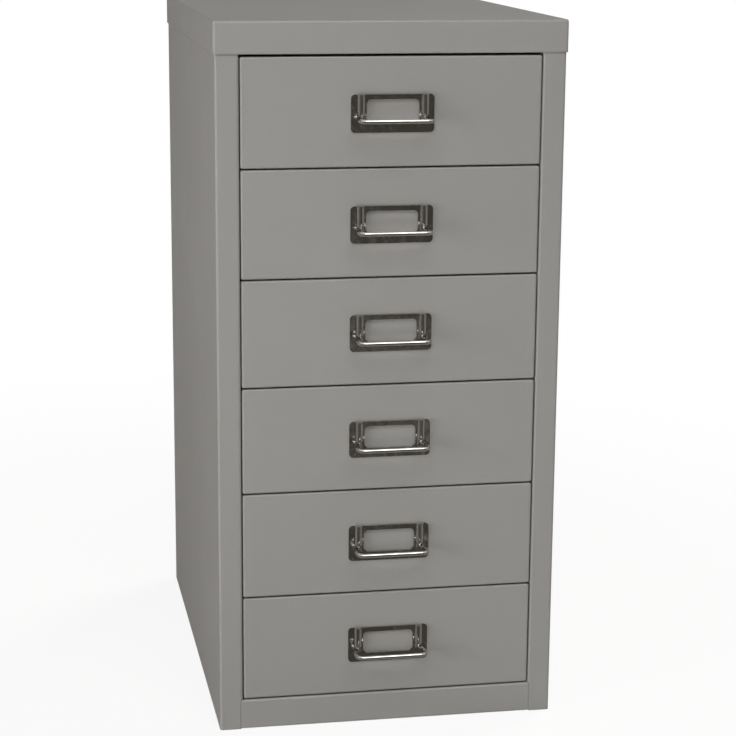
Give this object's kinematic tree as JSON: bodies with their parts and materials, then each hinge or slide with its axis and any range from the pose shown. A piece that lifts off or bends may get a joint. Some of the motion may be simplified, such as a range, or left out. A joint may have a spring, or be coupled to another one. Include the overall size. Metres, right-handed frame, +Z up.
{
  "type": "drawer cabinet",
  "caption": "Small upright sheet-steel cabinet of shallow drawers on channel runners, with a folded cap and a chromed label frame and wire bow on each drawer.",
  "frame": {"origin": "centre of the footprint, on the floor under the cabinet's base", "axes": "+Z up, -Y out of the drawer fronts, +X to the right of someone facing them"},
  "size_m": [0.2822, 0.4249, 0.58],
  "materials": {
    "grey_enamel": "satin stoved enamel, warm mid grey",
    "zinc_steel": "zinc-coated, dull",
    "chrome_plate": "bright chrome plate"
  },
  "bodies": {
    "cabinet": {"lid": "grey_enamel", "left_side": "grey_enamel", "right_side": "grey_enamel", "base_pan": "grey_enamel", "back_panel": "grey_enamel", "front_header": "grey_enamel", "post_front_left": "zinc_steel", "post_front_right": "zinc_steel", "post_rear_left": "zinc_steel", "post_rear_right": "zinc_steel", "runner_left_1": "zinc_steel", "runner_left_2": "zinc_steel", "runner_left_3": "zinc_steel", "runner_left_4": "zinc_steel", "runner_left_5": "zinc_steel", "runner_left_6": "zinc_steel", "runner_right_1": "zinc_steel", "runner_right_2": "zinc_steel", "runner_right_3": "zinc_steel", "runner_right_4": "zinc_steel", "runner_right_5": "zinc_steel", "runner_right_6": "zinc_steel"},
    "drawer_1": {"drawer_tray_1": "grey_enamel", "drawer_front_1": "grey_enamel", "handle_plate_1": "chrome_plate", "handle_pull_1": "chrome_plate"},
    "drawer_2": {"drawer_tray_2": "grey_enamel", "drawer_front_2": "grey_enamel", "handle_plate_2": "chrome_plate", "handle_pull_2": "chrome_plate"},
    "drawer_3": {"drawer_tray_3": "grey_enamel", "drawer_front_3": "grey_enamel", "handle_plate_3": "chrome_plate", "handle_pull_3": "chrome_plate"},
    "drawer_4": {"drawer_tray_4": "grey_enamel", "drawer_front_4": "grey_enamel", "handle_plate_4": "chrome_plate", "handle_pull_4": "chrome_plate"},
    "drawer_5": {"drawer_tray_5": "grey_enamel", "drawer_front_5": "grey_enamel", "handle_plate_5": "chrome_plate", "handle_pull_5": "chrome_plate"},
    "drawer_6": {"drawer_tray_6": "grey_enamel", "drawer_front_6": "grey_enamel", "handle_plate_6": "chrome_plate", "handle_pull_6": "chrome_plate"}
  },
  "joints": [
    {"name": "drawer_1_slide", "type": "slide", "parent": "cabinet", "child": "drawer_1", "axis": [0, -1, 0], "range_m": [0, 0.31]},
    {"name": "drawer_2_slide", "type": "slide", "parent": "cabinet", "child": "drawer_2", "axis": [0, -1, 0], "range_m": [0, 0.31]},
    {"name": "drawer_3_slide", "type": "slide", "parent": "cabinet", "child": "drawer_3", "axis": [0, -1, 0], "range_m": [0, 0.31]},
    {"name": "drawer_4_slide", "type": "slide", "parent": "cabinet", "child": "drawer_4", "axis": [0, -1, 0], "range_m": [0, 0.31]},
    {"name": "drawer_5_slide", "type": "slide", "parent": "cabinet", "child": "drawer_5", "axis": [0, -1, 0], "range_m": [0, 0.31]},
    {"name": "drawer_6_slide", "type": "slide", "parent": "cabinet", "child": "drawer_6", "axis": [0, -1, 0], "range_m": [0, 0.31]}
  ]
}
